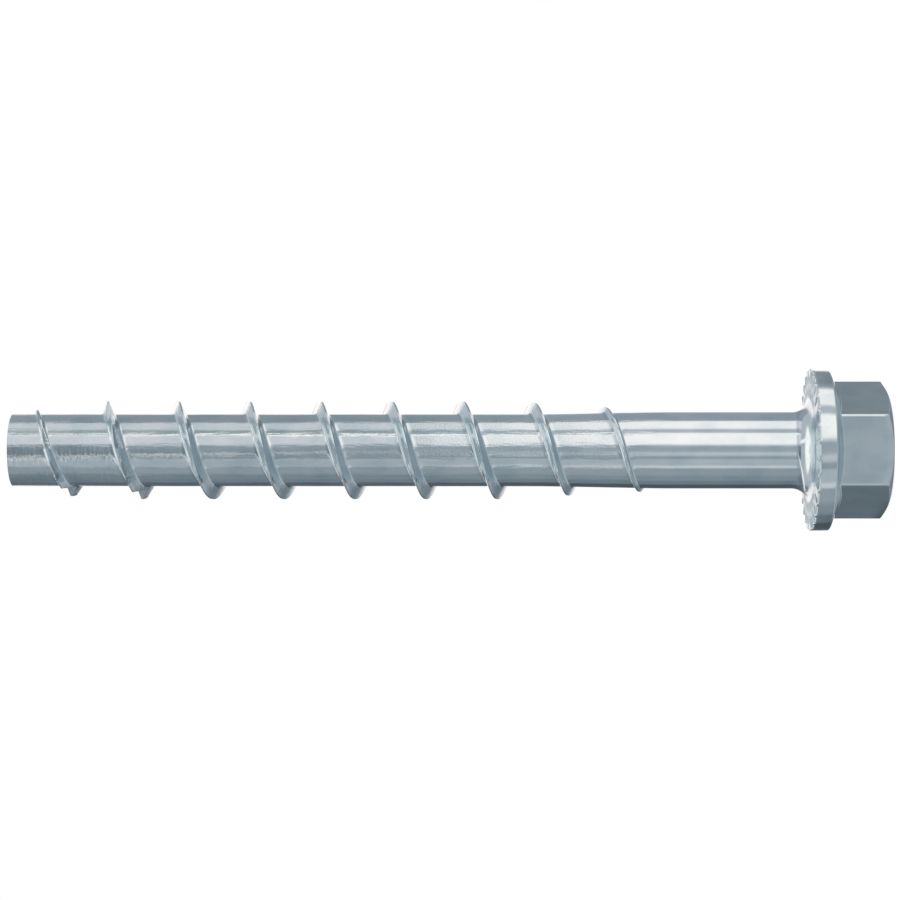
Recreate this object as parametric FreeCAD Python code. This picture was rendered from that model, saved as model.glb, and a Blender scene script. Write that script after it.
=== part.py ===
import FreeCAD, Part
import math
import os

# Concrete screw: hexagon head with a ribbed flange, a plain shank that tapers into a thinner
# core, and a coarse right-hand thread whose first turns are cut into saw teeth.
# Millimetres. The screw stands on its head: z = 0 is the flat end of the head, +Z points to
# the tip, and the hexagon has one flat towards -Y.

# Head
head_height = 9.7
across_flats = 15.0
end_face_diameter = 14.2
chamfer_angle = 26.0
flange_diameter = 20.26
flange_rim_thickness = 2.35
flange_cone_angle = 22.0
rim_edge_chamfer = 0.12

# Radial ribs under the flange, left standing between grooves
rib_count = 30
rib_height = 0.22
rib_crest_angle = 1.7
rib_base_angle = 3.9
rib_inset = 0.35

# Shank and core
length_under_head = 100.0
shank_diameter = 9.7
shank_length = 18.2
fillet_radius = 2.2
taper_length = 15.6
core_diameter = 9.14
tip_chamfer = 0.1

# Thread
thread_diameter = 12.38
thread_pitch = 8.93
thread_crest_width = 0.22
thread_flank_angle = 20.5
thread_start_angle = 119.2
run_in_turns = 1.09
fade_turns = 1.42
tail_turns = 0.45
tail_height = 0.68
sink_turns = 0.24

# Saw teeth in the first turns of the thread
toothed_turns = 2.0
teeth_per_turn = 8
tooth_phase = -88.0
tooth_ramp_angle = 30.0
tooth_depth = 1.2
tooth_floor_height = 0.14

# Modelling allowances
overlap = 0.5
points_per_turn = 12

# Heights and radii that follow from the sizes above
bearing_height = head_height
tip_height = head_height + length_under_head
core_radius = core_diameter / 2
shank_radius = shank_diameter / 2
flange_radius = flange_diameter / 2
rib_inner_radius = shank_radius + fillet_radius + rib_inset
thread_height = (thread_diameter - core_diameter) / 2
thread_turns = (length_under_head - shank_length) / thread_pitch
root_radius = core_radius - overlap
flank_slope = math.tan(math.radians(thread_flank_angle))
Z_AXIS = FreeCAD.Vector(0, 0, 1)


def polar(radius, degrees, height):
    """Return the point at a radius, an angle about the screw's axis and a height."""
    angle = math.radians(degrees)
    return FreeCAD.Vector(radius * math.cos(angle), radius * math.sin(angle), height)


def revolve(edges):
    """Turn a closed outline in the XZ plane once round the screw's axis."""
    face = Part.Face(Part.Wire(edges))
    return face.revolve(FreeCAD.Vector(0, 0, 0), Z_AXIS, 360)


def outline(points):
    """Join points in the XZ plane, given as (radius, height), with straight edges."""
    corners = [FreeCAD.Vector(radius, 0, height) for radius, height in points]
    return [Part.makeLine(start, end) for start, end in zip(corners, corners[1:])]


def arc(start, middle, end):
    """Return the arc through three points of the XZ plane, given as (radius, height)."""
    points = [FreeCAD.Vector(radius, 0, height) for radius, height in (start, middle, end)]
    return Part.Arc(*points).toShape()


def quarter_arc(centre, radius, start_angle):
    """Return three points of a quarter circle round a centre, for an arc."""
    return [
        (
            centre[0] + radius * math.cos(math.radians(start_angle + step)),
            centre[1] + radius * math.sin(math.radians(start_angle + step)),
        )
        for step in (0, 45, 90)
    ]


def flange_and_shank():
    """Turn the flange, the fillet under it, the shank, the taper and the core."""
    cone_slope = math.tan(math.radians(flange_cone_angle))
    rim_low = bearing_height - flange_rim_thickness
    cone_inner = across_flats / 2 - overlap
    cone_height = rim_low - (flange_radius - cone_inner) * cone_slope
    cone_end = (flange_radius - rim_edge_chamfer, rim_low - rim_edge_chamfer * cone_slope)
    rim_start = (flange_radius, rim_low + rim_edge_chamfer)
    fillet_centre = (shank_radius + fillet_radius, bearing_height + fillet_radius)
    fillet = quarter_arc(fillet_centre, -fillet_radius, 0)
    shank_top = bearing_height + shank_length
    return revolve(
        outline([
            (0, cone_height),
            (cone_inner, cone_height),
            cone_end,
            rim_start,
            (flange_radius, bearing_height),
            fillet[2],
        ])
        + [arc(*reversed(fillet))]
        + outline([
            fillet[0],
            (shank_radius, shank_top),
            (core_radius, shank_top + taper_length),
            (core_radius, tip_height - tip_chamfer),
            (core_radius - tip_chamfer, tip_height),
            (0, tip_height),
            (0, cone_height),
        ])
    )


def hexagon():
    """Make the hexagon, with the corners of its end face turned off at the chamfer."""
    corner_radius = across_flats / 2 / math.cos(math.radians(30))
    corners = [polar(corner_radius, 60 * step, 0) for step in range(7)]
    height = bearing_height - flange_rim_thickness / 2
    prism = Part.Face(Part.makePolygon(corners)).extrude(FreeCAD.Vector(0, 0, height))
    end_radius = end_face_diameter / 2
    outer = corner_radius + overlap
    chamfer_height = (outer - end_radius) * math.tan(math.radians(chamfer_angle))
    envelope = revolve(outline([
        (0, 0),
        (end_radius, 0),
        (outer, chamfer_height),
        (outer, height),
        (0, height),
        (0, 0),
    ]))
    return prism.common(envelope)


def groove_cutter():
    """Make one radial groove with a flat floor, which deepens evenly from the axis to the rim."""
    reach = flange_radius + overlap
    depth = rib_height * reach / flange_radius
    rise = 0.3 * depth
    spacing = 360 / rib_count
    floor_half = (spacing - rib_base_angle) / 2
    brim_half = (spacing - rib_crest_angle) / 2
    top_half = brim_half + (brim_half - floor_half) * rise / depth
    middle = spacing / 2
    centre = FreeCAD.Vector(0, 0, bearing_height)
    floor = [polar(reach, middle + side * floor_half, bearing_height - depth) for side in (-1, 1)]
    top = [polar(reach, middle + side * top_half, bearing_height + rise) for side in (-1, 1)]
    loops = [
        (centre, floor[1], floor[0]),
        (centre, floor[0], top[0]),
        (centre, top[0], top[1]),
        (centre, top[1], floor[1]),
        (floor[0], floor[1], top[1], top[0]),
    ]
    faces = [Part.Face(Part.makePolygon([*loop, loop[0]])) for loop in loops]
    groove = Part.Solid(Part.Shell(faces))
    if groove.Volume < 0:
        groove.reverse()
    core = Part.makeCylinder(rib_inner_radius, 4 * overlap, centre - Z_AXIS * 2 * overlap)
    return groove.cut(core)


def grooves():
    """Repeat the groove round the flange, one between each two ribs."""
    groove = groove_cutter()
    cutters = []
    for step in range(rib_count):
        cutter = groove.copy()
        cutter.rotate(FreeCAD.Vector(0, 0, 0), Z_AXIS, step * 360 / rib_count)
        cutters.append(cutter)
    return cutters


def helix_angle(turns):
    """Return the angle of the thread's centre line, in turns counted from the tip."""
    return thread_start_angle - 360 * turns


def helix_height(turns):
    """Return the height of the thread's centre line, in turns counted from the tip."""
    return tip_height - thread_pitch * turns


def crest_stations():
    """List where the crest changes its rise, as (turns from the tip, height over the core)."""
    tail_end = thread_turns - sink_turns
    tail_start = tail_end - tail_turns
    fade_start = tail_start - fade_turns
    run_in_slope = thread_height / run_in_turns
    before_tip = -0.12
    return [
        (before_tip, run_in_slope * before_tip),
        (run_in_turns, thread_height),
        (fade_start, thread_height),
        (tail_start, tail_height + 0.1),
        (tail_end, tail_height),
        (thread_turns, 0.0),
    ]


def crest_radius(turns):
    """Return the radius of the thread's crest at a number of turns from the tip."""
    stations = crest_stations()
    for (start, start_height), (end, end_height) in zip(stations, stations[1:]):
        if turns <= end:
            share = (turns - start) / (end - start)
            return core_radius + start_height + share * (end_height - start_height)
    return core_radius


def ridge_corners(turns):
    """Return the four corners of the ridge's section, root to crest and back to root."""
    crest = crest_radius(turns)
    half_crest = thread_crest_width / 2
    half_root = half_crest + (crest - root_radius) * flank_slope
    angle = helix_angle(turns)
    height = helix_height(turns)
    return [
        polar(root_radius, angle, height - half_root),
        polar(crest, angle, height - half_crest),
        polar(crest, angle, height + half_crest),
        polar(root_radius, angle, height + half_root),
    ]


def ridge_edges(start, end):
    """Draw the four helical edges of the ridge between two turns."""
    steps = max(4, math.ceil((end - start) * points_per_turn))
    sections = [ridge_corners(start + (end - start) * step / steps) for step in range(steps + 1)]
    edges = []
    for corner in range(4):
        curve = Part.BSplineCurve()
        curve.interpolate([section[corner] for section in sections])
        edges.append(curve.toShape())
    return edges


def ridge_end(turns):
    """Close the ridge with a flat face across its section."""
    corners = ridge_corners(turns)
    return Part.Face(Part.makePolygon(corners + corners[:1]))


def thread_ridge():
    """Build the thread as one solid ridge that runs in at the tip and fades at the shank."""
    turns = [station[0] for station in crest_stations()]
    faces = [ridge_end(turns[0]), ridge_end(turns[-1])]
    for start, end in zip(turns, turns[1:]):
        edges = ridge_edges(start, end)
        for side in range(4):
            faces.append(Part.makeRuledSurface(edges[side], edges[(side + 1) % 4]))
    shell = Part.makeShell(faces)
    shell.sewShape()
    ridge = Part.Solid(shell)
    if ridge.Volume < 0:
        ridge.reverse()
    below_tip = Part.makeCylinder(thread_diameter, tip_height)
    return ridge.common(below_tip)


def tooth_cutter(turns):
    """Make the notch whose upright step stands at a number of turns from the tip.

    Its floor ramps down from the crest towards the head and ends at the step, which faces
    the tip.
    """
    ramp_turns = tooth_ramp_angle / 360
    step_angle = helix_angle(turns)
    crest = crest_radius(turns)
    floor = max(crest - tooth_depth, core_radius + tooth_floor_height)
    bottom = polar(floor, step_angle, 0)
    ramp_start = polar(crest_radius(turns - ramp_turns), step_angle + tooth_ramp_angle, 0)
    beyond = ramp_start + (ramp_start - bottom) * 0.25
    outside = beyond + (beyond - bottom).normalize() * 0.1 + polar(overlap, step_angle, 0)
    step_top = polar(crest + 2 * overlap, step_angle, 0)
    half_root = thread_crest_width / 2 + thread_height * flank_slope
    reach = half_root + thread_pitch * ramp_turns + 0.3 * overlap
    profile = Part.Face(Part.makePolygon([bottom, beyond, outside, step_top, bottom]))
    profile.translate(Z_AXIS * (helix_height(turns - ramp_turns / 2) - reach))
    return profile.extrude(Z_AXIS * 2 * reach)


def teeth():
    """Place the notches along the first turns, all in line with the first one's angle."""
    first = (thread_start_angle - tooth_phase) % (360 / teeth_per_turn) / 360
    spacing = 1 / teeth_per_turn
    count = int((toothed_turns - first) / spacing) + 1
    cutters = []
    for step in range(count):
        turns = first + step * spacing
        if crest_radius(turns) > core_radius + tooth_floor_height + 0.05:
            cutters.append(tooth_cutter(turns))
    return cutters


def concrete_screw():
    """Join the turned body, the hexagon and the thread, then cut the teeth and the grooves."""
    screw = flange_and_shank().fuse(hexagon()).fuse(thread_ridge())
    screw = screw.cut(teeth())
    screw = screw.cut(grooves())
    return screw.removeSplitter().Solids[0]


os.makedirs("parts", exist_ok=True)
screw = concrete_screw()
screw.exportStep("parts/concrete_screw.step")
print("valid", screw.isValid(), "volume", round(screw.Volume, 1), "mm3", "faces", len(screw.Faces))
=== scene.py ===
import logging
import math
from dataclasses import dataclass, field
from enum import Enum
from typing import Iterable, NamedTuple, Sequence

import bmesh
import bpy
import numpy as np
from mathutils import Matrix, Vector


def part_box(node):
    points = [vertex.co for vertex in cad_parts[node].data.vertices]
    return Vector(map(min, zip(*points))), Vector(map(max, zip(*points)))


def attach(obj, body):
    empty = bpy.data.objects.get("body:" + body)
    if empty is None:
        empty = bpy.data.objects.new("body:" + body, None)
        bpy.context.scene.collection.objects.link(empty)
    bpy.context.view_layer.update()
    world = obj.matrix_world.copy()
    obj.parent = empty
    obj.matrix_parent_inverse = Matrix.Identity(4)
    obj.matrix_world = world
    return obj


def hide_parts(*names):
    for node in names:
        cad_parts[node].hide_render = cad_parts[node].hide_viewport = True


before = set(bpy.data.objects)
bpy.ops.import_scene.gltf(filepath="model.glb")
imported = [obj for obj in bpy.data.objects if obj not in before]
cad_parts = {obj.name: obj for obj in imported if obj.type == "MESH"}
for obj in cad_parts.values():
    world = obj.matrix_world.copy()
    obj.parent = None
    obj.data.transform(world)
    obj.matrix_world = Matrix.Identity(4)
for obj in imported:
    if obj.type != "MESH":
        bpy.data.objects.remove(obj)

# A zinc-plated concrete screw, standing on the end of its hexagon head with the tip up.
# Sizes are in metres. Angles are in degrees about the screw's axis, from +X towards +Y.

Socket = bpy.types.NodeSocket
Colour = tuple[float, float, float, float]
Triple = tuple[float, float, float]
Pair = tuple[float, float]
Outline = list[tuple[np.ndarray | float, np.ndarray | float]]

MM = 0.001
FULL_TURN = 360.0
QUARTER_TURN = 90.0
HEX_SIDE = 60.0
SHARP_ANGLE = 38.0
WELD = 0.0002 * MM
HAIR = 1e-6
NODE = "concrete_screw"

log = logging.getLogger("concrete_screw")


class Zone(Enum):
    """The finish that a face of the screw takes."""

    ROLLED = 0
    HEADED = 1


@dataclass
class Skin:
    """The screw's closed surface while it is being built."""

    points: list[np.ndarray] = field(default_factory=list)
    faces: list[tuple[int, ...]] = field(default_factory=list)
    zones: list[int] = field(default_factory=list)
    size: int = 0

    def add(self, points: np.ndarray) -> np.ndarray:
        """Add points to the surface.

        Args:
            points: an array of shape (count, 3).

        Returns:
            The index of each new point.
        """
        first = self.size
        self.points.append(points)
        self.size += len(points)
        return np.arange(first, self.size)

    def face(self, corners: Iterable[int], zone: Zone) -> None:
        """Add one face, leaving out corners that repeat and faces that collapse.

        Args:
            corners: the face's corners, anticlockwise from outside.
            zone: the finish of the face.
        """
        kept: list[int] = []
        for corner in corners:
            if corner not in kept:
                kept.append(int(corner))
        if len(kept) > 2:
            self.faces.append(tuple(kept))
            self.zones.append(zone.value)

    def band(self, upper: np.ndarray, lower: np.ndarray, zone: Zone) -> None:
        """Join two rings that have the same number of points.

        Args:
            upper: the ring nearer to the tip, or nearer to the axis on the bearing face.
            lower: the ring nearer to the head's end.
            zone: the finish of the band.
        """
        for here, after in zip(range(len(upper)), [*range(1, len(upper)), 0]):
            self.face((lower[here], lower[after], upper[after], upper[here]), zone)

    def seam(self, upper: "Ring", lower: "Ring", zone: Zone) -> None:
        """Join two rings whose points stand at different angles with triangles.

        Args:
            upper: the ring nearer to the axis.
            lower: the ring outside it.
            zone: the finish of the seam.
        """
        here, there = 0, 0
        above, below = len(upper.points), len(lower.points)
        while here < above or there < below:
            next_above = upper.angle(here + 1)
            next_below = lower.angle(there + 1)
            if there == below or (here < above and next_above <= next_below):
                corners = (lower.point(there), upper.point(here + 1), upper.point(here))
                here += 1
            else:
                corners = (lower.point(there), lower.point(there + 1), upper.point(here))
                there += 1
            self.face(corners, zone)

    def cap(self, ring: np.ndarray, centre: Vector, zone: Zone, upwards: bool) -> None:
        """Close a ring with a fan to one point.

        Args:
            ring: the ring's points.
            centre: the point in the middle.
            zone: the finish of the fan.
            upwards: whether the fan faces the tip.
        """
        middle = self.add(np.array([centre]))[0]
        for here, after in zip(ring, np.roll(ring, -1)):
            corners = (here, after, middle) if upwards else (after, here, middle)
            self.face(corners, zone)

    def to_mesh(self, name: str) -> bpy.types.Mesh:
        """Make a mesh of the surface.

        Args:
            name: the mesh's name.

        Returns:
            The mesh, smooth but for its real edges.
        """
        mesh = bpy.data.meshes.new(name)
        mesh.from_pydata(np.concatenate(self.points).tolist(), [], self.faces)
        mesh.polygons.foreach_set("material_index", self.zones)
        welded = bmesh.new()
        welded.from_mesh(mesh)
        bmesh.ops.remove_doubles(welded, verts=welded.verts, dist=WELD)
        welded.to_mesh(mesh)
        welded.free()
        mesh.polygons.foreach_set("use_smooth", [True] * len(mesh.polygons))
        mesh.validate()
        mesh.set_sharp_from_angle(angle=math.radians(SHARP_ANGLE))
        return mesh


@dataclass
class Ring:
    """A closed ring of points of the surface, with the angle of each."""

    points: np.ndarray
    angles: np.ndarray

    def point(self, place: int) -> int:
        """Return the index of a point, counting on past the ring's end."""
        return int(self.points[place % len(self.points)])

    def angle(self, place: int) -> float:
        """Return the angle of a point, counting on past the ring's end."""
        turns, place = divmod(place, len(self.points))
        return float(self.angles[place]) + FULL_TURN * turns


def around(
    radius: np.ndarray | float, degrees: np.ndarray, height: np.ndarray | float
) -> np.ndarray:
    """Place points about the screw's axis.

    Args:
        radius: the distance of each point from the axis.
        degrees: the angle of each point.
        height: the height of each point.

    Returns:
        An array of shape (count, 3).
    """
    angle = np.radians(degrees)
    flat = np.broadcast_to(height, angle.shape)
    return np.stack([radius * np.cos(angle), radius * np.sin(angle), flat], axis=-1)


def curve(start: np.ndarray, corner: np.ndarray, end: np.ndarray, share: float) -> np.ndarray:
    """Return a point on the rounding of a corner.

    Args:
        start: where the rounding starts.
        corner: the corner that is rounded.
        end: where the rounding ends.
        share: how far along the rounding the point lies, from 0 to 1.

    Returns:
        The point, in the same form as the three given.
    """
    rest = 1.0 - share
    return rest * rest * start + 2.0 * rest * share * corner + share * share * end


def eased(share: np.ndarray | float, softness: float) -> np.ndarray | float:
    """Ease a share at both its ends.

    Args:
        share: the share, from 0 to 1.
        softness: 0 for an even rise and 1 for the softest ends.

    Returns:
        The eased share.
    """
    return (1.0 - softness) * share + softness * share * share * (3.0 - 2.0 * share)


@dataclass
class Thread:
    """The coarse right-hand thread with the core that carries it."""

    tip_height: float
    bearing_height: float
    core_radius: float = 4.57 * MM
    shank_radius: float = 4.85 * MM
    shank_length: float = 18.2 * MM
    foot_turns: float = 0.12
    taper_length: float = 15.6 * MM
    taper_softness: float = 0.25
    crest_radius: float = 6.19 * MM
    pitch: float = 8.93 * MM
    crest_width: float = 0.22 * MM
    flank_angle: float = 20.5
    start_angle: float = 119.2
    run_in_turns: float = 1.09
    fade_turns: float = 1.42
    tail_turns: float = 0.45
    tail_height: float = 0.68 * MM
    tail_drop: float = 0.1 * MM
    sink_turns: float = 0.24
    toothed_turns: float = 2.0
    teeth_per_turn: int = 8
    tooth_phase: float = -88.0
    tooth_ramp: float = 30.0
    tooth_depth: float = 1.2 * MM
    tooth_floor: float = 0.14 * MM
    least_tooth: float = 0.05 * MM
    step_width: float = 0.35
    ramp_shares: tuple[float, ...] = (
        0.0, 0.03, 0.1, 0.18, 0.27, 0.36, 0.45, 0.54, 0.63, 0.72, 0.81, 0.9, 0.96,
    )
    land_shares: tuple[float, ...] = (0.0, 0.14, 0.3, 0.48, 0.66, 0.84, 1.0)
    edge_rounding: float = 0.05 * MM
    most_edge: float = 0.3
    root_fillet: float = 0.34 * MM
    most_fillet: float = 0.5
    fillet_reach: float = 0.66
    fillet_shares: Pair = (0.33, 0.67)
    gap_shares: Triple = (0.12, 0.4, 0.7)
    tip_chamfer: float = 0.03 * MM
    least_height: float = 0.12 * MM
    snap: float = 0.03 * MM
    spare_turns: int = 2

    @property
    def turns(self) -> float:
        """Turns of the thread, from the tip's end face to where it sinks into the shank."""
        return (self.tip_height - self.bearing_height - self.shank_length) / self.pitch

    @property
    def foot_height(self) -> float:
        """Height of the ring where the threaded part is joined to the plain shank."""
        return self.bearing_height + self.shank_length - self.foot_turns * self.pitch

    @property
    def tip_ring_height(self) -> float:
        """Height where the chamfer of the tip's end face starts."""
        return self.tip_height - self.tip_chamfer

    def column_angles(self) -> np.ndarray:
        """Set the columns of points about the axis, closer together at each tooth's step.

        Returns:
            The angles of one turn's columns, ascending.
        """
        spacing = FULL_TURN / self.teeth_per_turn
        land = spacing - self.tooth_ramp
        ramp = self.tooth_ramp * np.array(self.ramp_shares)
        top = self.tooth_ramp + (land - self.step_width) * np.array(self.land_shares)
        offsets = np.concatenate([ramp, top])
        steps = self.tooth_phase + spacing * np.arange(self.teeth_per_turn)
        return np.sort(np.mod((steps[:, None] + offsets[None, :]).ravel(), FULL_TURN))

    def core_at(self, height: np.ndarray) -> np.ndarray:
        """Return the radius under the thread at each height, with its taper eased at both ends.

        Args:
            height: heights over the head's end.

        Returns:
            The radii.
        """
        taper_start = self.bearing_height + self.shank_length
        share = np.clip((height - taper_start) / self.taper_length, 0.0, 1.0)
        narrowed = eased(share, self.taper_softness)
        return self.shank_radius + narrowed * (self.core_radius - self.shank_radius)

    def crest_at(self, turns: np.ndarray) -> np.ndarray:
        """Return the radius over the crest before teeth are cut.

        Args:
            turns: turns along the thread, counted from the tip.

        Returns:
            The radii: rising at the tip, full, fading in three steps towards the shank.
        """
        height = self.crest_radius - self.core_radius
        tail_end = self.turns - self.sink_turns
        tail_start = tail_end - self.tail_turns
        fade_start = tail_start - self.fade_turns
        places = [0.0, self.run_in_turns, fade_start, tail_start, tail_end, self.turns]
        heights = [0.0, height, height, self.tail_height + self.tail_drop, self.tail_height, 0.0]
        return self.core_radius + np.interp(turns, places, heights, left=0.0, right=0.0)

    def tooth_cut(self, turns: np.ndarray, angles: np.ndarray) -> np.ndarray:
        """Return the radius to which the saw teeth cut the crest back.

        Args:
            turns: turns along the thread, counted from the tip.
            angles: the angle of each place.

        Returns:
            The radii, larger than any crest where no tooth is cut.
        """
        spacing = FULL_TURN / self.teeth_per_turn
        past_step = np.mod(angles - self.tooth_phase + HAIR, spacing) - HAIR
        step_turns = turns + past_step / FULL_TURN
        step_crest = self.crest_at(step_turns)
        floor = np.maximum(step_crest - self.tooth_depth, self.core_radius + self.tooth_floor)
        ramp_crest = self.crest_at(step_turns - self.tooth_ramp / FULL_TURN)
        along = np.radians(np.clip(past_step, 0.0, self.tooth_ramp))
        whole = math.radians(self.tooth_ramp)
        chord = floor * ramp_crest * math.sin(whole)
        chord = chord / (floor * np.sin(along) + ramp_crest * np.sin(whole - along))
        cut = (past_step <= self.tooth_ramp) & (step_turns < self.toothed_turns)
        cut &= step_crest > self.core_radius + self.tooth_floor + self.least_tooth
        return np.where(cut, chord, 2.0 * self.crest_radius)

    def ridge_height(
        self, turns: np.ndarray, angles: np.ndarray, middle: np.ndarray
    ) -> tuple[np.ndarray, np.ndarray]:
        """Return how high the ridge stands over the core.

        Args:
            turns: turns along the thread, counted from the tip.
            angles: the angle of each place.
            middle: the height of the thread's centre line at each place.

        Returns:
            The height before teeth are cut, and the height with them.
        """
        core = self.core_at(middle)
        whole = np.maximum(self.crest_at(turns) - core, 0.0)
        return whole, np.minimum(whole, np.maximum(self.tooth_cut(turns, angles) - core, 0.0))

    def half_section(
        self, whole: np.ndarray, cut: np.ndarray
    ) -> list[tuple[np.ndarray, np.ndarray]]:
        """Draw half of the ridge's section, from its middle to the middle of the gap.

        Args:
            whole: the ridge's height before teeth are cut.
            cut: its height with them.

        Returns:
            The rows, each as the distance from the centre line and the height over the core.
        """
        flank_angle = math.radians(self.flank_angle)
        slope, lean, rise = math.tan(flank_angle), math.sin(flank_angle), math.cos(flank_angle)
        drawn = np.maximum(whole, self.least_height)
        scale = whole / drawn
        top = drawn * np.where(whole > 0.0, cut / np.maximum(whole, HAIR * MM), 1.0)
        half_top = self.crest_width / 2 + (drawn - top) * slope
        half_root = self.crest_width / 2 + drawn * slope
        edge = np.minimum(self.edge_rounding, self.most_edge * top)
        fillet = np.minimum(self.root_fillet, self.most_fillet * top) * self.fillet_reach
        crest = np.stack([half_top, top])
        crest_start = np.stack([half_top - edge, top])
        crest_end = np.stack([half_top + edge * lean, top - edge * rise])
        root = np.stack([half_root, np.zeros_like(top)])
        root_start = np.stack([half_root - fillet * lean, fillet * rise])
        root_end = np.stack([half_root + fillet, np.zeros_like(top)])
        flank = 0.5 * (crest_end + root_start)
        rows = [np.stack([np.zeros_like(top), top]), crest_start]
        rows.append(curve(crest_start, crest, crest_end, 0.5))
        rows.extend([crest_end, flank, root_start])
        for share in (*self.fillet_shares, 1.0):
            rows.append(curve(root_start, root, root_end, share))
        gap = self.pitch / 2 - root_end[0]
        for share in self.gap_shares:
            rows.append(np.stack([root_end[0] + share * gap, np.zeros_like(top)]))
        return [(across, up * scale) for across, up in rows]

    def ring_radii(self, angles: np.ndarray, height: float) -> np.ndarray:
        """Return the radius of the threaded surface all round at one height.

        Args:
            angles: the columns' angles.
            height: the height of the ring.

        Returns:
            The radius at each column.
        """
        slope = math.tan(math.radians(self.flank_angle))
        turns = (self.tip_height - height) / self.pitch
        lag = np.mod(self.start_angle - angles, FULL_TURN) / FULL_TURN
        nearest = lag + np.round(turns - lag)
        middle = self.tip_height - self.pitch * nearest
        whole, cut = self.ridge_height(nearest, angles, middle)
        half_root = self.crest_width / 2 + whole * slope
        flank = (half_root - np.abs(height - middle)) / slope
        return self.core_at(np.full(angles.shape, height)) + np.clip(flank, 0.0, cut)

    def build(self, skin: Skin) -> tuple[Ring, Ring]:
        """Add the threaded part to the surface.

        Rows of points follow the helix, so the crest and the root have clean edges. Rows that
        pass the tip or the foot end on a plain ring there.

        Args:
            skin: the surface to add to.

        Returns:
            The ring at the tip and the ring at the foot.
        """
        columns = self.column_angles()
        count = len(columns)
        lowest = -math.ceil(self.turns + self.spare_turns + 0.5)
        whole_turns = range(lowest, self.spare_turns + 1)
        angles = np.concatenate([columns + FULL_TURN * turn for turn in whole_turns])
        turns = (self.start_angle - angles) / FULL_TURN
        middle = self.tip_height - self.pitch * turns
        whole, cut = self.ridge_height(turns, angles, middle)
        half = self.half_section(whole, cut)
        gap_middle = (np.full(angles.shape, self.pitch / 2), np.zeros_like(angles))
        rows = [gap_middle, *half[:0:-1], half[0]]
        rows.extend((-across, up) for across, up in half[1:])
        across = np.stack([row[0] for row in rows], axis=1)
        over_core = np.stack([row[1] for row in rows], axis=1)
        height = middle[:, None] + across
        radius = self.core_at(height) + over_core
        spread = np.broadcast_to(angles[:, None], height.shape)
        kept = (height < self.tip_ring_height - self.snap) & (height > self.foot_height + self.snap)
        index = np.full(height.shape, -1)
        index[kept] = skin.add(around(radius[kept], spread[kept], height[kept]))
        rings = []
        for level in (self.tip_ring_height, self.foot_height):
            radii = self.ring_radii(columns, level)
            rings.append(Ring(skin.add(around(radii, columns, level)), columns))
        column = np.broadcast_to((np.arange(len(angles)) % count)[:, None], height.shape)
        above = ~kept & (height > self.tip_ring_height - 2 * self.snap)
        below = ~kept & ~above
        index[above] = rings[0].points[column[above]]
        index[below] = rings[1].points[column[below]]
        self.join_rows(skin, index, count)
        return rings[0], rings[1]

    def join_rows(self, skin: Skin, index: np.ndarray, count: int) -> None:
        """Join the helical rows with faces.

        Args:
            skin: the surface to add to.
            index: the point at each column and row.
            count: how many columns make one turn.
        """
        rows = index.shape[1]
        for column in range(count, index.shape[0] - 1):
            here, after = index[column], index[column + 1]
            turn_below = (index[column - count][0], index[column + 1 - count][0])
            for row in range(rows):
                low = (here[row + 1], after[row + 1]) if row + 1 < rows else turn_below
                skin.face((low[0], low[1], after[row], here[row]), Zone.ROLLED)


@dataclass
class Tip:
    """The flat end of the thread, with its small chamfer."""

    thread: Thread
    rings: tuple[float, ...] = (0.7, 0.35)

    def build(self, skin: Skin, start: Ring) -> None:
        """Close the surface at the tip.

        Args:
            skin: the surface to add to.
            start: the ring where the threaded part ends.
        """
        height = self.thread.tip_height
        radii = self.thread.ring_radii(start.angles, self.thread.tip_ring_height)
        edge = radii - self.thread.tip_chamfer
        inner = start.points
        for share in (1.0, *self.rings):
            ring = skin.add(around(edge * share, start.angles, height))
            skin.band(ring, inner, Zone.ROLLED)
            inner = ring
        skin.cap(inner, Vector((0.0, 0.0, height)), Zone.ROLLED, upwards=True)


@dataclass
class Shank:
    """The plain shank and the fillet that joins it to the flange."""

    thread: Thread
    fillet_radius: float = 2.2 * MM
    fillet_steps: int = 12
    plain_shares: Triple = (0.75, 0.5, 0.25)
    plain_ring: float = 0.25 * MM

    @property
    def fillet_end(self) -> float:
        """Radius where the fillet meets the bearing face."""
        return self.thread.shank_radius + self.fillet_radius

    def build(self, skin: Skin, start: Ring) -> Ring:
        """Add the shank and its fillet.

        Args:
            skin: the surface to add to.
            start: the ring where the threaded part ends.

        Returns:
            The last ring, on the plain part of the bearing face.
        """
        bearing = self.thread.bearing_height
        fillet_top = bearing + self.fillet_radius
        plain = self.thread.foot_height - fillet_top
        outline = []
        for share in self.plain_shares:
            outline.append((self.thread.shank_radius, fillet_top + plain * share))
        for step in range(self.fillet_steps + 1):
            angle = math.radians(QUARTER_TURN * step / self.fillet_steps)
            outline.append((
                self.fillet_end - self.fillet_radius * math.cos(angle),
                bearing + self.fillet_radius * (1.0 - math.sin(angle)),
            ))
        outline.append((self.fillet_end + self.plain_ring, bearing))
        upper = start.points
        for radius, height in outline:
            ring = skin.add(around(radius, start.angles, height))
            skin.band(upper, ring, Zone.ROLLED)
            upper = ring
        return Ring(upper, start.angles)


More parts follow.
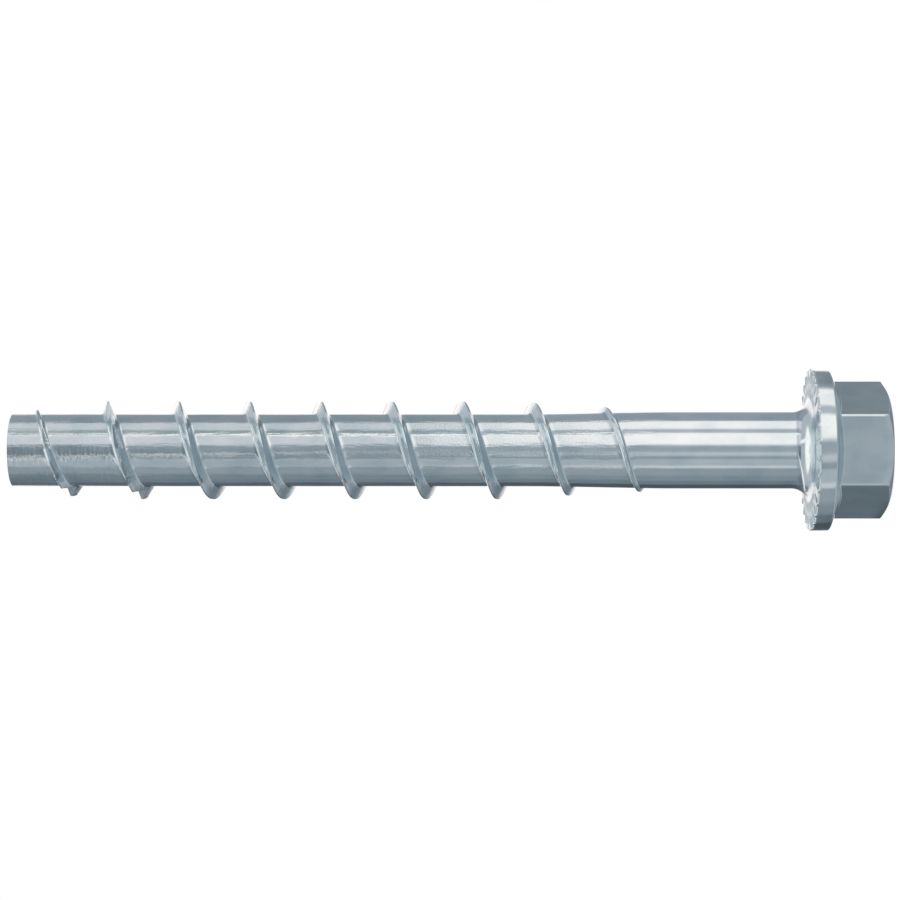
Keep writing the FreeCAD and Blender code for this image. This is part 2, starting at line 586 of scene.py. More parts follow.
@dataclass
class Head:
    """The ribbed flange and the hexagon, forged in one with the shank."""

    bearing_height: float
    flange_radius: float
    rib_start: float
    across_flats: float = 15.0 * MM
    end_face_radius: float = 7.1 * MM
    end_face_rings: Pair = (5.2 * MM, 2.6 * MM)
    chamfer_angle: float = 26.0
    chamfer_shares: Triple = (0.15, 0.6, 0.97)
    rim_thickness: float = 2.35 * MM
    rim_rows: Pair = (0.5 * MM, 1.3 * MM)
    cone_angle: float = 22.0
    bearing_edge_rounding: float = 0.17 * MM
    rim_rounding: float = 0.14 * MM
    rim_curve: tuple[Pair, ...] = ((0.0, 1.0), (0.1, 0.55), (0.42, 0.14))
    corner_rounding: float = 0.4 * MM
    base_fillet: float = 0.3 * MM
    fillet_reach: float = 0.67
    edge_rounding: float = 0.08 * MM
    most_edge: float = 0.3
    cone_rows: Triple = (0.4, 0.8, 1.0)
    fillet_rows: Triple = (0.33, 0.67, 1.0)
    side_rows: Triple = (0.35, 0.7, 1.0)
    chamfer_start: Pair = (0.3, 0.2)
    rib_count: int = 30
    rib_height: float = 0.22 * MM
    rib_crest: float = 1.2
    rib_base: float = 4.6
    rib_softness: float = 0.5
    rib_run_out: float = 2.2 * MM
    crest_column: float = 0.25
    flank_columns: int = 6
    groove_columns: Pair = (3.0, 4.5)
    corner_columns: Triple = (0.35, 0.7, 1.0)
    run_out_rings: int = 6
    outer_rings: int = 4
    rounding_steps: int = 4

    @property
    def corner_centre(self) -> float:
        """Distance from the axis to the middle of a corner's rounding."""
        return (self.across_flats / 2 - self.corner_rounding) / math.cos(math.radians(HEX_SIDE / 2))

    @property
    def corner_reach(self) -> float:
        """Work out the angle on each side of a corner over which it is rounded.

        Returns:
            The angle in degrees.
        """
        half_side = math.radians(HEX_SIDE / 2)
        across = self.corner_rounding * math.sin(half_side)
        along = self.corner_centre + self.corner_rounding * math.cos(half_side)
        return math.degrees(math.atan2(across, along))

    def column_angles(self) -> np.ndarray:
        """Set the columns of points about the axis, with some at each rib and corner.

        Returns:
            The angles of one turn's columns, ascending.
        """
        spacing = FULL_TURN / self.rib_count
        side = np.linspace(self.rib_crest / 2, self.rib_base / 2, self.flank_columns)
        half = np.array([self.crest_column * self.rib_crest, *side, *self.groove_columns])
        offsets = np.concatenate([-half[::-1], [0.0], half, [spacing / 2]])
        middles = spacing * np.arange(self.rib_count)
        ribbed = (middles[:, None] + offsets[None, :]).ravel()
        beside = self.corner_reach * np.array(self.corner_columns)
        beside = np.concatenate([-beside[::-1], beside])
        middles = np.arange(0.0, FULL_TURN, HEX_SIDE)
        corners = (middles[:, None] + beside[None, :]).ravel()
        return np.unique(np.round(np.mod(np.concatenate([ribbed, corners]), FULL_TURN), 4))

    def hexagon(self, angles: np.ndarray) -> np.ndarray:
        """Return the hexagon's radius with its corners rounded.

        Args:
            angles: the columns' angles.

        Returns:
            The radius at each column.
        """
        half_side = HEX_SIDE / 2
        off_corner = np.mod(angles + half_side, HEX_SIDE) - half_side
        flat = self.across_flats / 2 / np.cos(np.radians(half_side - np.abs(off_corner)))
        lean = np.radians(np.clip(off_corner, -self.corner_reach, self.corner_reach))
        across = self.corner_centre * np.sin(lean)
        rounded = self.corner_centre * np.cos(lean) + np.sqrt(self.corner_rounding**2 - across**2)
        return np.where(np.abs(off_corner) < self.corner_reach, rounded, flat)

    def groove_share(self, angles: np.ndarray) -> np.ndarray:
        """Tell how far each column lies down the side of a rib.

        Args:
            angles: the columns' angles.

        Returns:
            0 on a rib's crest and 1 on the floor between two ribs, with soft edges.
        """
        spacing = FULL_TURN / self.rib_count
        off_rib = np.abs(np.mod(angles + spacing / 2, spacing) - spacing / 2)
        side = (self.rib_base - self.rib_crest) / 2
        share = np.clip((off_rib - self.rib_crest / 2) / side, 0.0, 1.0)
        return eased(share, self.rib_softness)

    def groove_depth(self, share: np.ndarray, radius: float) -> np.ndarray:
        """Return the depth of the grooves between the ribs at one radius.

        Args:
            share: how far each column lies down the side of a rib.
            radius: the distance from the axis.

        Returns:
            The depth at each column: nothing at the inner end, and the ribs' height at the rim.
        """
        past_start = min(max((radius - self.rib_start) / self.rib_run_out, 0.0), 1.0)
        return share * self.rib_height * eased(past_start, 1.0) * radius / self.flange_radius

    def flange_outline(self, angles: np.ndarray) -> Outline:
        """Draw the bearing face and the rim, column by column.

        Args:
            angles: the columns' angles.

        Returns:
            The rings from the plain part of the bearing face to the rim's lower edge.
        """
        share = self.groove_share(angles)
        top, rim = self.bearing_height, self.flange_radius
        low = top - self.rim_thickness
        edge = self.bearing_edge_rounding
        inner = self.rib_start + self.rib_run_out * np.linspace(0.0, 1.0, self.run_out_rings)
        outer = np.linspace(inner[-1], rim - edge, self.outer_rings + 1)[1:]
        rings: Outline = []
        for radius in (*inner, *outer):
            rings.append((radius, top - self.groove_depth(share, radius)))
        brim = top - self.groove_depth(share, rim)
        for step in range(1, self.rounding_steps + 1):
            angle = math.radians(QUARTER_TURN * step / self.rounding_steps)
            inset, drop = edge * (1.0 - math.sin(angle)), edge * (1.0 - math.cos(angle))
            rings.append((rim - inset, brim - drop))
        rings.extend((rim, top - depth) for depth in self.rim_rows)
        for inset, rise in self.rim_curve:
            rings.append((rim - inset * self.rim_rounding, low + rise * self.rim_rounding))
        return rings

    def hexagon_outline(self, angles: np.ndarray) -> Outline:
        """Draw the flange's cone, the hexagon's sides, its chamfer and the end face.

        Args:
            angles: the columns' angles.

        Returns:
            The rings from the rim's lower edge to near the middle of the end face.
        """
        side = self.hexagon(angles)
        cone_angle = math.radians(self.cone_angle)
        cone = math.tan(cone_angle)
        low = self.bearing_height - self.rim_thickness
        rim_end = self.flange_radius - self.rim_rounding
        rim_low = low - self.rim_rounding * cone
        reach = self.fillet_reach * self.base_fillet
        corner = np.stack([side, low - (self.flange_radius - side) * cone])
        cone_end = corner + reach * np.array([[math.cos(cone_angle)], [math.sin(cone_angle)]])
        wall_start = corner - np.array([[0.0], [reach]])
        turned = (side - self.end_face_radius) * math.tan(math.radians(self.chamfer_angle))
        edge = np.minimum(self.edge_rounding, self.most_edge * turned)
        rings: Outline = [(rim_end, rim_low)]
        for share in self.cone_rows:
            out = rim_end + share * (cone_end[0] - rim_end)
            rings.append((out, rim_low + share * (cone_end[1] - rim_low)))
        for share in self.fillet_rows:
            rounded = curve(cone_end, corner, wall_start, share)
            rings.append((rounded[0], rounded[1]))
        wall_end = turned + edge
        for share in self.side_rows:
            rings.append((side, wall_start[1] + share * (wall_end - wall_start[1])))
        inset, rise = self.chamfer_start
        rings.append((side - inset * edge, turned + rise * edge))
        for share in self.chamfer_shares:
            rings.append((side + share * (self.end_face_radius - side), turned * (1.0 - share)))
        for radius in (self.end_face_radius - self.edge_rounding, *self.end_face_rings):
            rings.append((radius, 0.0))
        return rings

    def build(self, skin: Skin, start: Ring) -> None:
        """Add the head and close the surface at its end face.

        Args:
            skin: the surface to add to.
            start: the ring on the plain part of the bearing face.
        """
        angles = self.column_angles()
        outline = self.flange_outline(angles) + self.hexagon_outline(angles)
        upper = np.array([], dtype=int)
        for radius, height in outline:
            ring = skin.add(around(radius, angles, height))
            if len(upper):
                skin.band(upper, ring, Zone.HEADED)
            else:
                skin.seam(start, Ring(ring, angles), Zone.HEADED)
            upper = ring
        skin.cap(upper, Vector((0.0, 0.0, 0.0)), Zone.HEADED, upwards=False)


@dataclass
class NodeBench:
    """The nodes of one material or world, and the few steps that build them."""

    tree: bpy.types.NodeTree

    def add(self, kind: str) -> bpy.types.Node:
        """Add a node of one kind."""
        return self.tree.nodes.new(kind)

    def feed(self, target: Socket, value: Socket | float | Colour) -> None:
        """Feed an input from another socket, or with a constant.

        Args:
            target: the input.
            value: the socket that feeds it, or the constant.
        """
        if isinstance(value, Socket):
            self.tree.links.new(value, target)
        else:
            target.default_value = value

    def place(self) -> Socket:
        """Return the socket with the place on the object, along its own axes."""
        return self.add("ShaderNodeTexCoord").outputs["Object"]

    def split(self, vector: Socket) -> tuple[Socket, Socket, Socket]:
        """Split a vector.

        Args:
            vector: the socket with the vector.

        Returns:
            The sockets with its parts along X, Y and Z.
        """
        parts = self.add("ShaderNodeSeparateXYZ")
        self.feed(parts.inputs["Vector"], vector)
        return parts.outputs["X"], parts.outputs["Y"], parts.outputs["Z"]

    def work(self, operation: str, *values: Socket | float) -> Socket:
        """Add one sum.

        Args:
            operation: what is done with the values.
            values: the values, or their sockets.

        Returns:
            The socket with the outcome.
        """
        node = self.add("ShaderNodeMath")
        node.operation = operation
        for target, value in zip(node.inputs, values):
            self.feed(target, value)
        return node.outputs["Value"]

    def degrees(self, rise: Socket, run: Socket) -> Socket:
        """Return the socket with the angle of a rise over a run, in degrees."""
        return self.work("MULTIPLY", self.work("ARCTAN2", rise, run), math.degrees(1.0))

    def change(self, value: Socket, span: Pair, ends: Pair, kind: str = "LINEAR") -> Socket:
        """Let one value follow another between two limits.

        Args:
            value: the socket with the value that is followed.
            span: the limits between which it is followed, the lower one first.
            ends: the outcome below the first limit and above the second.
            kind: how the outcome goes from the one to the other.

        Returns:
            The socket with the outcome.
        """
        node = self.add("ShaderNodeMapRange")
        node.interpolation_type = kind
        for name, limit in zip(("From Min", "From Max", "To Min", "To Max"), (*span, *ends)):
            node.inputs[name].default_value = limit
        self.feed(node.inputs["Value"], value)
        return node.outputs["Result"]

    def edge(self, value: Socket, start: float, full: float) -> Socket:
        """Draw a soft edge.

        Args:
            value: the socket with the place across the edge.
            start: where the edge starts.
            full: where it ends.

        Returns:
            The socket that rises from 0 at the start to 1 at the end.
        """
        if start < full:
            return self.change(value, (start, full), (0.0, 1.0), "SMOOTHSTEP")
        return self.change(value, (full, start), (1.0, 0.0), "SMOOTHSTEP")

    def all_of(self, *shares: Socket) -> Socket:
        """Take the place where several shares meet.

        Args:
            shares: the sockets with the shares.

        Returns:
            The socket with their product.
        """
        socket = shares[0]
        for share in shares[1:]:
            socket = self.work("MULTIPLY", socket, share)
        return socket

    def blend(self, share: Socket, first: Socket | Colour, second: Socket | Colour) -> Socket:
        """Go from one colour to another.

        Args:
            share: the socket with the share of the second.
            first: the first colour, or its socket.
            second: the second colour, or its socket.

        Returns:
            The socket with the colour.
        """
        node = self.add("ShaderNodeMixRGB")
        for name, value in (("Fac", share), ("Color1", first), ("Color2", second)):
            self.feed(node.inputs[name], value)
        return node.outputs["Color"]

    def mix(self, share: Socket, first: Socket, second: Socket) -> Socket:
        """Go from one shader to another.

        Args:
            share: the socket with the share of the second.
            first: the socket of the first shader.
            second: the socket of the second.

        Returns:
            The socket with the shader.
        """
        node = self.add("ShaderNodeMixShader")
        for target, value in zip(node.inputs, (share, first, second)):
            self.feed(target, value)
        return node.outputs["Shader"]

    def seen_directly(self) -> Socket:
        """Tell rays from the camera, in reflections and through glass from all others.

        Returns:
            A socket that is 1 for those rays and 0 for the others.
        """
        path = self.add("ShaderNodeLightPath")
        socket = path.outputs["Is Camera Ray"]
        for name in ("Is Glossy Ray", "Is Transmission Ray"):
            socket = self.work("MAXIMUM", socket, path.outputs[name])
        return socket


@dataclass(frozen=True)
class ZincPlating:
    """Bright blue-grey zinc on formed steel, duller and more marked where the thread was rolled."""

    name: str
    bearing_start: float
    bearing_full: float
    deep: Triple = (0.52, 0.625, 0.675)
    middle: Triple = (0.57, 0.665, 0.712)
    pale: Triple = (0.61, 0.695, 0.738)
    tint_span: Pair = (0.36, 0.64)
    smoothest: float = 0.07
    roughest: float = 0.12
    uneven_span: Pair = (0.35, 0.65)
    rolled_dulling: float = 0.02
    tip_dulling: float = 0.04
    bearing_dulling: float = 0.10
    plain_share: float = 0.08
    plain_until: float = 27.0 * MM
    rolled_from: float = 33.0 * MM
    tip_from: float = 80.0 * MM
    tip_end: float = 109.7 * MM
    cloud_scale: Triple = (420.0, 420.0, 260.0)
    cloud_detail: float = 4.0
    dash_scale: Triple = (1700.0, 1700.0, 200.0)
    dash_detail: float = 3.0
    dash_height: float = 0.036 * MM
    tick_scale: Triple = (700.0, 700.0, 2600.0)
    tick_detail: float = 2.0
    tick_height: float = 0.024 * MM
    grain_scale: Triple = (3600.0, 3600.0, 3600.0)
    grain_detail: float = 1.0
    grain_height: float = 0.006 * MM

    def build(self) -> bpy.types.Material:
        """Make the finish.

        Returns:
            The material.
        """
        material = bpy.data.materials.new(self.name)
        material.use_nodes = True
        bench = NodeBench(material.node_tree)
        shader = bench.tree.nodes["Principled BSDF"]
        shader.inputs["Metallic"].default_value = 1.0
        cloud = self.noise(bench, self.cloud_scale, self.cloud_detail)
        height = bench.split(bench.place())[2]
        rolled = bench.change(height, (self.plain_until, self.rolled_from), (self.plain_share, 1.0))
        tip = bench.change(height, (self.tip_from, self.tip_end), (0.0, 1.0))
        bearing = bench.change(height, (self.bearing_start, self.bearing_full), (0.0, 1.0))
        dulled = (
            (rolled, self.rolled_dulling),
            (tip, self.tip_dulling),
            (bearing, self.bearing_dulling),
        )
        bench.feed(shader.inputs["Base Color"], self.tint(bench, cloud))
        bench.feed(shader.inputs["Roughness"], self.dullness(bench, cloud, dulled))
        normal = None
        for scale, detail, share, marks_height in (
            (self.grain_scale, self.grain_detail, rolled, self.grain_height),
            (self.tick_scale, self.tick_detail, tip, self.tick_height),
            (self.dash_scale, self.dash_detail, rolled, self.dash_height),
        ):
            normal = self.bump(bench, self.noise(bench, scale, detail), share, marks_height, normal)
        bench.feed(shader.inputs["Normal"], normal)
        return material

    def noise(self, bench: NodeBench, scale: Triple, detail: float) -> Socket:
        """Add noise that is fixed to the screw.

        Args:
            bench: the material's nodes.
            scale: marks per metre along X, Y and the screw's axis.
            detail: how much finer noise is added.

        Returns:
            The socket with the noise.
        """
        stretch = bench.add("ShaderNodeMapping")
        stretch.inputs["Scale"].default_value = scale
        bench.feed(stretch.inputs["Vector"], bench.place())
        marks = bench.add("ShaderNodeTexNoise")
        marks.inputs["Scale"].default_value = 1.0
        marks.inputs["Detail"].default_value = detail
        bench.feed(marks.inputs["Vector"], stretch.outputs["Vector"])
        return marks.outputs["Fac"]

    def tint(self, bench: NodeBench, cloud: Socket) -> Socket:
        """Colour the zinc in soft clouds.

        Args:
            bench: the material's nodes.
            cloud: the socket with the clouds.

        Returns:
            The socket with the colour.
        """
        ramp = bench.add("ShaderNodeValToRGB")
        elements = ramp.color_ramp.elements
        for element, place, tint in zip(elements, self.tint_span, (self.deep, self.pale)):
            element.position = place
            element.color = (*tint, 1.0)
        elements.new(sum(self.tint_span) / 2).color = (*self.middle, 1.0)
        bench.feed(ramp.inputs["Fac"], cloud)
        return ramp.outputs["Color"]

    def dullness(
        self, bench: NodeBench, cloud: Socket, dulled: Sequence[tuple[Socket, float]]
    ) -> Socket:
        """Work out the roughness: uneven everywhere, and more where the steel was formed.

        Args:
            bench: the material's nodes.
            cloud: the socket with the clouds.
            dulled: the sockets that say where the screw is duller, each with how much it is.

        Returns:
            The socket with the roughness.
        """
        socket = bench.change(cloud, self.uneven_span, (self.smoothest, self.roughest))
        for share, amount in dulled:
            socket = bench.work("MULTIPLY_ADD", share, amount, socket)
        return socket

    def bump(
        self, bench: NodeBench, marks: Socket, share: Socket, height: float, normal: Socket | None
    ) -> Socket:
        """Raise fine marks on the surface.

        Args:
            bench: the material's nodes.
            marks: the socket with the marks.
            share: the socket with how strongly they show.
            height: how high they stand.
            normal: the normal with marks made before, if there are any.

        Returns:
            The socket with the new normal.
        """
        raised = bench.add("ShaderNodeBump")
        raised.inputs["Distance"].default_value = height
        bench.feed(raised.inputs["Strength"], share)
        bench.feed(raised.inputs["Height"], marks)
        if normal is not None:
            bench.feed(raised.inputs["Normal"], normal)
        return raised.outputs["Normal"]


@dataclass
class ConcreteScrew:
    """The whole screw as one closed piece that stands for its CAD node."""

    length: float
    flange_radius: float
    head_height: float = 9.7 * MM
    rib_inset: float = 0.35 * MM
    dull_on_fillet: Pair = (1.3 * MM, 0.4 * MM)
    dull_on_flange: Pair = (-0.45 * MM, -0.25 * MM)

    def build(self) -> bpy.types.Object:
        """Returns:
            The screw's object.
        """
        thread = Thread(tip_height=self.length, bearing_height=self.head_height)
        shank = Shank(thread)
        head = Head(self.head_height, self.flange_radius, shank.fillet_end + self.rib_inset)
        skin = Skin()
        tip_ring, foot_ring = thread.build(skin)
        Tip(thread).build(skin, tip_ring)
        bearing_ring = shank.build(skin, foot_ring)
        head.build(skin, bearing_ring)
        piece = bpy.data.objects.new("screw_body", skin.to_mesh("screw_body"))
        bpy.context.scene.collection.objects.link(piece)
        for finish in self.finishes():
            piece.data.materials.append(finish.build())
        weighted = piece.modifiers.new("even shading", "WEIGHTED_NORMAL")
        weighted.keep_sharp = True
        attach(piece, "root")
        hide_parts(NODE)
        return piece

    def finishes(self) -> Sequence[ZincPlating]:
        """Choose the finishes, in the order of the zones.

        Returns:
            The finish of the rolled part and of the forged head, both duller by the bearing face.
        """
        on_fillet = (self.head_height + height for height in self.dull_on_fillet)
        on_flange = (self.head_height + height for height in self.dull_on_flange)
        return (
            ZincPlating("zinc on the rolled thread", *on_fillet),
            ZincPlating("zinc on the head", *on_flange),
        )


RED_DIM, RED_GAIN, RED_LEAST, RED_MOST = 0.80, 0.30, 0.87, 1.11
BLUE_DIM, BLUE_GAIN = 1.13, -0.15


def glow(level: float) -> Colour:
    """Return the colour of a soft panel, cool where it is dim and a little warm where it is bright.

    Args:
        level: how bright the panel is, where 1 is white.

    Returns:
        The colour.
    """
    red = min(max(RED_DIM + RED_GAIN * level, RED_LEAST), RED_MOST)
    return (level * red, level, level * (BLUE_DIM + BLUE_GAIN * level), 1.0)


@dataclass(frozen=True)
class SoftPanel:
    """One upright panel beside the screw, a light where it is bright and a card where it is dim.

    Its edges are angles in degrees round the screw, from the camera's side to behind the screw.
    Its level changes with the height: below the horizon, above it, and high over the tip.
    """

    name: str
    start: float
    end: float
    softness: float
    level: float
    level_above: float
    level_high: float


PAST_BEHIND = 200.0
KEY_SIDE = (
    SoftPanel("front card", 0.0, PAST_BEHIND, 1.0, 0.52, 0.45, 0.31),
    SoftPanel("key light", 15.0, 52.5, 6.0, 1.32, 0.86, 0.94),
    SoftPanel("edge of the key light", 46.5, 51.0, 1.5, 1.32, 1.60, 1.05),
    SoftPanel("card between the lights", 53.5, 65.0, 2.0, 0.66, 0.47, 0.60),
    SoftPanel("side light", 66.0, 97.0, 4.0, 1.26, 0.83, 0.88),
    SoftPanel("side card", 101.0, PAST_BEHIND, 3.0, 0.46, 0.39, 0.44),
    SoftPanel("back light", 152.0, PAST_BEHIND, 5.0, 1.0, 0.86, 1.0),
)
FILL_SIDE = (
    SoftPanel("front card", 0.0, PAST_BEHIND, 1.0, 0.52, 0.41, 0.31),
    SoftPanel("narrow light", 6.0, 16.5, 4.0, 0.74, 0.37, 0.24),
    SoftPanel("slit between the lights", 19.0, 27.0, 2.0, 0.46, 0.39, 0.30),
    SoftPanel("fill light", 27.5, 56.0, 1.5, 0.62, 0.55, 0.62),
    SoftPanel("lath on the fill light", 28.0, 32.0, 1.0, 0.62, 0.64, 0.62),
    SoftPanel("edge of the fill light", 47.0, 55.0, 2.0, 0.83, 0.58, 0.60),
    SoftPanel("side card", 57.0, PAST_BEHIND, 2.5, 0.45, 0.45, 0.40),
    SoftPanel("far side card", 82.0, PAST_BEHIND, 8.0, 0.37, 0.33, 0.26),
    SoftPanel("dark card", 105.0, PAST_BEHIND, 4.0, 0.28, 0.29, 0.25),
    SoftPanel("black card", 126.0, PAST_BEHIND, 5.0, 0.12, 0.16, 0.20),
    SoftPanel("grey back", 162.0, PAST_BEHIND, 5.0, 0.44, 0.36, 0.36),
    SoftPanel("back light", 169.0, PAST_BEHIND, 2.0, 0.82, 0.82, 0.82),
)


class Measure(Enum):
    """What the edges of a light are measured by, for a direction of length 1 from the screw."""

    ACROSS = "the part towards the key side"
    ASIDE = "the part towards either side"
    AHEAD = "the part towards the camera"
    BACK = "the part away from the camera"
    UP = "the part towards the tip"
    OVER_SHEET = "the part towards the tip, from the white sheet's lower edge"
    OVERHEAD = "the part towards the tip, less behind the screw"
    LEAN = "degrees from the camera's side up over the tip"
    RISE = "degrees from the fill side up over the tip"


class SoftEdge(NamedTuple):
    """One edge of a light: nothing at the start, and all of it where it is full."""

    by: Measure
    start: float
    full: float


@dataclass(frozen=True)
class PlacedLight:
    """A light or a card that fills the directions within all its limits."""

    name: str
    level: float
    limits: tuple[SoftEdge, ...]
    share: float = 1.0


PLACED_LIGHTS = (
    PlacedLight(
        "shade low behind the screw",
        0.1,
        (
            SoftEdge(Measure.UP, -0.15, -0.185),
            SoftEdge(Measure.BACK, 0.10, 0.35),
            SoftEdge(Measure.ASIDE, 0.40, 0.60),
        ),
        share=0.35,
    ),
    PlacedLight(
        "white sheet behind the screw",
        1.22,
        (
            SoftEdge(Measure.BACK, 0.50, 0.60),
            SoftEdge(Measure.ASIDE, 0.44, 0.36),
            SoftEdge(Measure.OVER_SHEET, -0.03, 0.06),
        ),
    ),
    PlacedLight(
        "seam in the sheet",
        0.52,
        (
            SoftEdge(Measure.ASIDE, 0.11, 0.07),
            SoftEdge(Measure.BACK, 0.85, 0.90),
            SoftEdge(Measure.UP, 0.0, 0.04),
            SoftEdge(Measure.UP, 0.28, 0.20),
        ),
    ),
    PlacedLight("overhead light", 0.66, (SoftEdge(Measure.OVERHEAD, 0.38, 0.50),)),
    PlacedLight(
        "box over the tip",
        1.45,
        (SoftEdge(Measure.UP, 0.74, 0.88), SoftEdge(Measure.LEAN, 105.0, 96.0)),
    ),
    PlacedLight(
        "ribbon on the key side",
        1.34,
        (
            SoftEdge(Measure.ACROSS, 0.27, 0.33),
            SoftEdge(Measure.ACROSS, 0.50, 0.42),
            SoftEdge(Measure.AHEAD, 0.0, 0.2),
            SoftEdge(Measure.UP, 0.35, 0.45),
        ),
    ),
    PlacedLight(
        "thin strip on the fill side",
        1.4,
        (
            SoftEdge(Measure.RISE, 27.5, 29.5),
            SoftEdge(Measure.RISE, 34.5, 32.5),
            SoftEdge(Measure.BACK, 0.90, 0.80),
        ),
    ),
)


@dataclass(frozen=True)
class Lamp:
    """One soft square lamp, aimed at the screw's middle. Its power is in watts."""

    name: str
    place: Triple
    power: float
    size: float = 0.6

    def build(self, aim: Vector) -> None:
        """Hang the lamp.

        Args:
            aim: the point that it shines on.
        """
        light = bpy.data.lights.new(self.name, "AREA")
        light.shape = "SQUARE"
        light.size = self.size
        light.energy = self.power
        lamp = bpy.data.objects.new(self.name, light)
        lamp.location = self.place
        lamp.rotation_euler = (aim - Vector(self.place)).to_track_quat("-Z", "Y").to_euler()
        lamp.visible_glossy = False
        bpy.context.scene.collection.objects.link(lamp)


@dataclass
class Studio:
    """A pale floor, a white surround, and a ring of soft panels that the plating reflects."""

    centre_height: float
    dome_radius: float = 0.9
    dome_rings: int = 32
    floor_radius: float = 3.0
    floor_sides: int = 96
    floor_tint: float = 0.98
    floor_roughness: float = 0.9
    shadow_share: float = 0.12
    horizon: Pair = (-0.05, 0.06)
    over_tip: Pair = (0.15, 0.25)
    sheet_drop: float = 0.36
    sheet_cut: float = -0.20
    sheet_cut_edge: Pair = (-0.17, -0.23)
    overhead_slope: float = -0.12
    overhead_edge: Pair = (0.30, 0.70)
    ground_level: float = 0.57
    ground_behind_level: float = 0.27
    ground_edge: Pair = (-0.38, -0.50)
    ground_front_edge: Pair = (-0.75, -0.50)
    lamps: tuple[Lamp, ...] = (
        Lamp("key lamp", (0.5, -0.6, 0.9), 14.0),
        Lamp("fill lamp", (-0.7, -0.3, 0.7), 8.0),
    )

    def build(self) -> None:
        """Build the surround, the floor, the panels and the lamps."""
        self.build_surround()
        self.build_floor()
        self.build_panels()
        for lamp in self.lamps:
            lamp.build(Vector((0.0, 0.0, self.centre_height)))

    def build_surround(self) -> None:
        """Make the world plain white."""
        world = bpy.data.worlds.new("white surround")
        world.use_nodes = True
        world.node_tree.nodes["Background"].inputs["Color"].default_value = (1.0, 1.0, 1.0, 1.0)
        bpy.context.scene.world = world

    def build_floor(self) -> None:
        """Lay the pale floor that the screw stands on. It keeps a trace of the shadow."""
        bpy.ops.mesh.primitive_circle_add(
            vertices=self.floor_sides, radius=self.floor_radius, fill_type="NGON"
        )
        floor = bpy.context.object
        floor.name = "floor"
        floor.visible_glossy = False
        material = bpy.data.materials.new("pale floor")
        material.use_nodes = True
        bench = NodeBench(material.node_tree)
        shader = bench.tree.nodes["Principled BSDF"]
        shader.inputs["Base Color"].default_value = (*[self.floor_tint] * 3, 1.0)
        shader.inputs["Roughness"].default_value = self.floor_roughness
        share = bench.work("MULTIPLY", bench.seen_directly(), 1.0 - self.shadow_share)
        white = bench.add("ShaderNodeEmission").outputs["Emission"]
        surface = bench.mix(share, shader.outputs["BSDF"], white)
        bench.feed(bench.tree.nodes["Material Output"].inputs["Surface"], surface)
        floor.data.materials.append(material)

    def build_panels(self) -> None:
        """Stand the soft panels round the screw. Only its reflections see them."""
        bpy.ops.mesh.primitive_uv_sphere_add(
            segments=2 * self.dome_rings,
            ring_count=self.dome_rings,
            radius=self.dome_radius,
            location=(0.0, 0.0, self.centre_height),
        )
        dome = bpy.context.object
        dome.name = "soft_panels"
        dome.visible_camera = False
        dome.visible_diffuse = False
        dome.visible_shadow = False
        material = bpy.data.materials.new("soft panels")
        material.use_nodes = True
        bench = NodeBench(material.node_tree)
        bench.tree.nodes.remove(bench.tree.nodes["Principled BSDF"])
        shine = bench.add("ShaderNodeEmission")
        bench.feed(shine.inputs["Color"], self.surroundings(bench))
        surface = bench.tree.nodes["Material Output"].inputs["Surface"]
        bench.feed(surface, shine.outputs["Emission"])
        dome.data.materials.append(material)

    def measures(self, bench: NodeBench) -> dict[Measure, Socket]:
        """Measure the direction from the screw.

        Args:
            bench: the nodes of the panels' material.

        Returns:
            The socket with each measure of the direction.
        """
        unit = bench.add("ShaderNodeVectorMath")
        unit.operation = "NORMALIZE"
        bench.feed(unit.inputs[0], bench.place())
        across, back, up = bench.split(unit.outputs["Vector"])
        ahead = bench.work("MULTIPLY", back, -1.0)
        beside = bench.work("MULTIPLY", across, -1.0)
        dropped = bench.work("MULTIPLY", self.on_key_side(bench, across), self.sheet_drop)
        cut = bench.work("MULTIPLY", bench.edge(across, *self.sheet_cut_edge), self.sheet_cut)
        behind = bench.edge(back, *self.overhead_edge)
        return {
            Measure.ACROSS: across,
            Measure.ASIDE: bench.work("ABSOLUTE", across),
            Measure.AHEAD: ahead,
            Measure.BACK: back,
            Measure.UP: up,
            Measure.OVER_SHEET: bench.work("ADD", up, bench.work("ADD", dropped, cut)),
            Measure.OVERHEAD: bench.work("MULTIPLY_ADD", behind, self.overhead_slope, up),
            Measure.LEAN: bench.degrees(up, ahead),
            Measure.RISE: bench.degrees(up, beside),
        }

    def on_key_side(self, bench: NodeBench, across: Socket) -> Socket:
        """Return the socket that is 1 on the key side and 0 on the fill side."""
        return bench.work("GREATER_THAN", across, 0.0)

    def surroundings(self, bench: NodeBench) -> Socket:
        """Lay out the panels, what is over them and what is under them.

        Args:
            bench: the nodes of the panels' material.

        Returns:
            The socket with the light from each direction.
        """
        measures = self.measures(bench)
        across, ahead, up = (measures[part] for part in (Measure.ACROSS, Measure.AHEAD, Measure.UP))
        turn = bench.work("ABSOLUTE", bench.degrees(across, ahead))
        above = bench.edge(up, *self.horizon)
        high = bench.edge(up, *self.over_tip)
        fill = self.wall(bench, turn, FILL_SIDE, above, high)
        key = self.wall(bench, turn, KEY_SIDE, above, high)
        light = bench.blend(self.on_key_side(bench, across), fill, key)
        for placed in PLACED_LIGHTS:
            edges = (bench.edge(measures[by], start, full) for by, start, full in placed.limits)
            share = bench.all_of(*edges)
            if placed.share < 1.0:
                share = bench.work("MULTIPLY", share, placed.share)
            light = bench.blend(share, light, glow(placed.level))
            light.node.label = placed.name
        front = bench.edge(ahead, *self.ground_front_edge)
        ground = bench.blend(front, glow(self.ground_behind_level), glow(self.ground_level))
        return bench.blend(bench.edge(up, *self.ground_edge), light, ground)

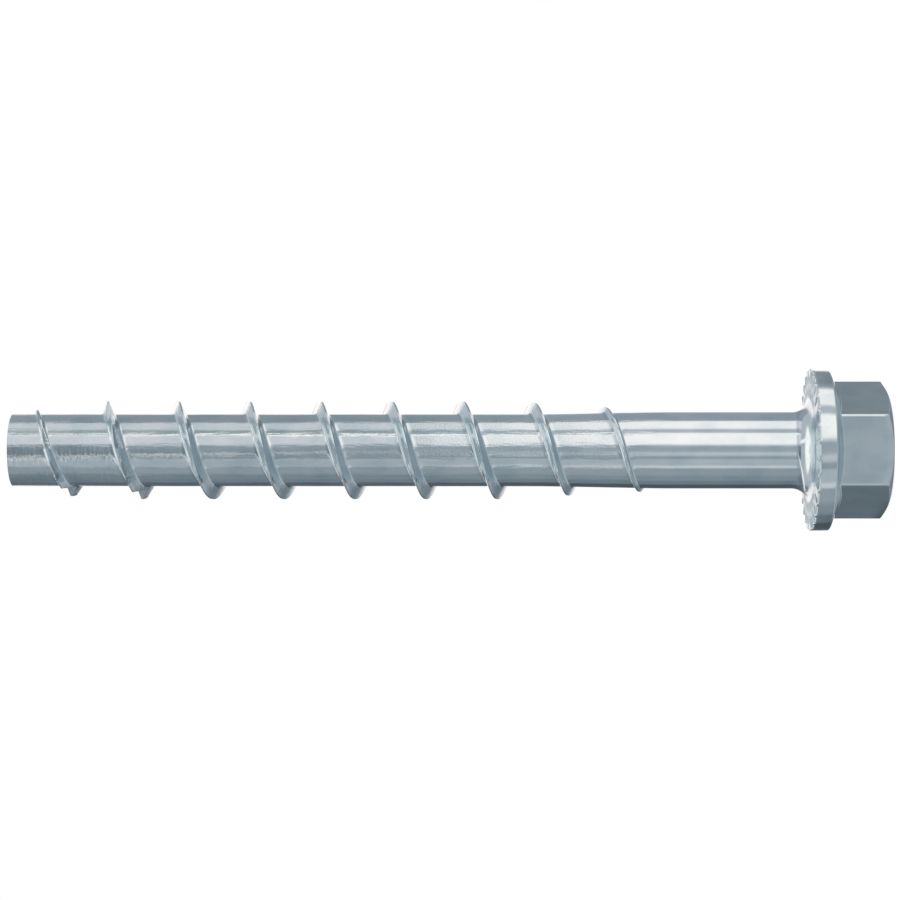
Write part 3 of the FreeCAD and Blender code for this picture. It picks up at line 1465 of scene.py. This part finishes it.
    def wall(
        self,
        bench: NodeBench,
        turn: Socket,
        panels: Sequence[SoftPanel],
        above: Socket,
        high: Socket,
    ) -> Socket:
        """Stand one side's panels in a half circle, each in front of the ones before it.

        Args:
            bench: the nodes of the panels' material.
            turn: the socket with the angle from the camera's side.
            panels: the side's panels, the one that fills the side first.
            above: the socket that is 1 above the horizon.
            high: the socket that is 1 high over the tip.

        Returns:
            The socket with their light.
        """
        light = None
        for panel in panels:
            own = bench.blend(above, glow(panel.level), glow(panel.level_above))
            own = bench.blend(high, own, glow(panel.level_high))
            own.node.label = panel.name
            if light is None:
                light = own
                continue
            begun = bench.edge(turn, panel.start - panel.softness, panel.start + panel.softness)
            not_ended = bench.edge(turn, panel.end + panel.softness, panel.end - panel.softness)
            light = bench.blend(bench.all_of(begun, not_ended), light, own)
        return light


@dataclass
class Camera:
    """The photograph's camera: level with the screw's middle, with the tip to the left."""

    height: float = 50.1 * MM
    distance: float = 330.7 * MM
    yaw: float = 0.7935
    sensor: float = 36.0
    lens: float = 105.28
    nearest: float = 0.01
    farthest: float = 20.0

    def build(self) -> None:
        """Place the camera, rolled so that the screw lies across the picture."""
        data = bpy.data.cameras.new("camera")
        data.sensor_width = self.sensor
        data.lens = self.lens
        data.clip_start = self.nearest
        data.clip_end = self.farthest
        camera = bpy.data.objects.new("camera", data)
        yaw = math.radians(self.yaw)
        ahead = Vector((0.0, math.cos(yaw), math.sin(yaw)))
        right = Vector((0.0, math.sin(yaw), -math.cos(yaw)))
        up = Vector((1.0, 0.0, 0.0))
        turned = Matrix((right, up, -ahead)).transposed().to_4x4()
        camera.matrix_world = Matrix.Translation((0.0, -self.distance, self.height)) @ turned
        bpy.context.scene.collection.objects.link(camera)
        bpy.context.scene.camera = camera


def main() -> None:
    """Build the screw, its studio and its camera."""
    logging.basicConfig(level=logging.INFO, format="%(name)s: %(message)s")
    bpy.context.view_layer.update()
    low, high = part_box(NODE)
    screw = ConcreteScrew(length=high.z - low.z, flange_radius=(high.x - low.x) / 2)
    piece = screw.build()
    log.info("%s: %d faces", piece.name, len(piece.data.polygons))
    Studio(centre_height=(low.z + high.z) / 2).build()
    log.info("studio: floor, surround, panels and lamps")
    Camera().build()
    log.info("camera placed")
    bpy.context.scene.view_settings.view_transform = "Standard"


if __name__ == "__main__":
    main()
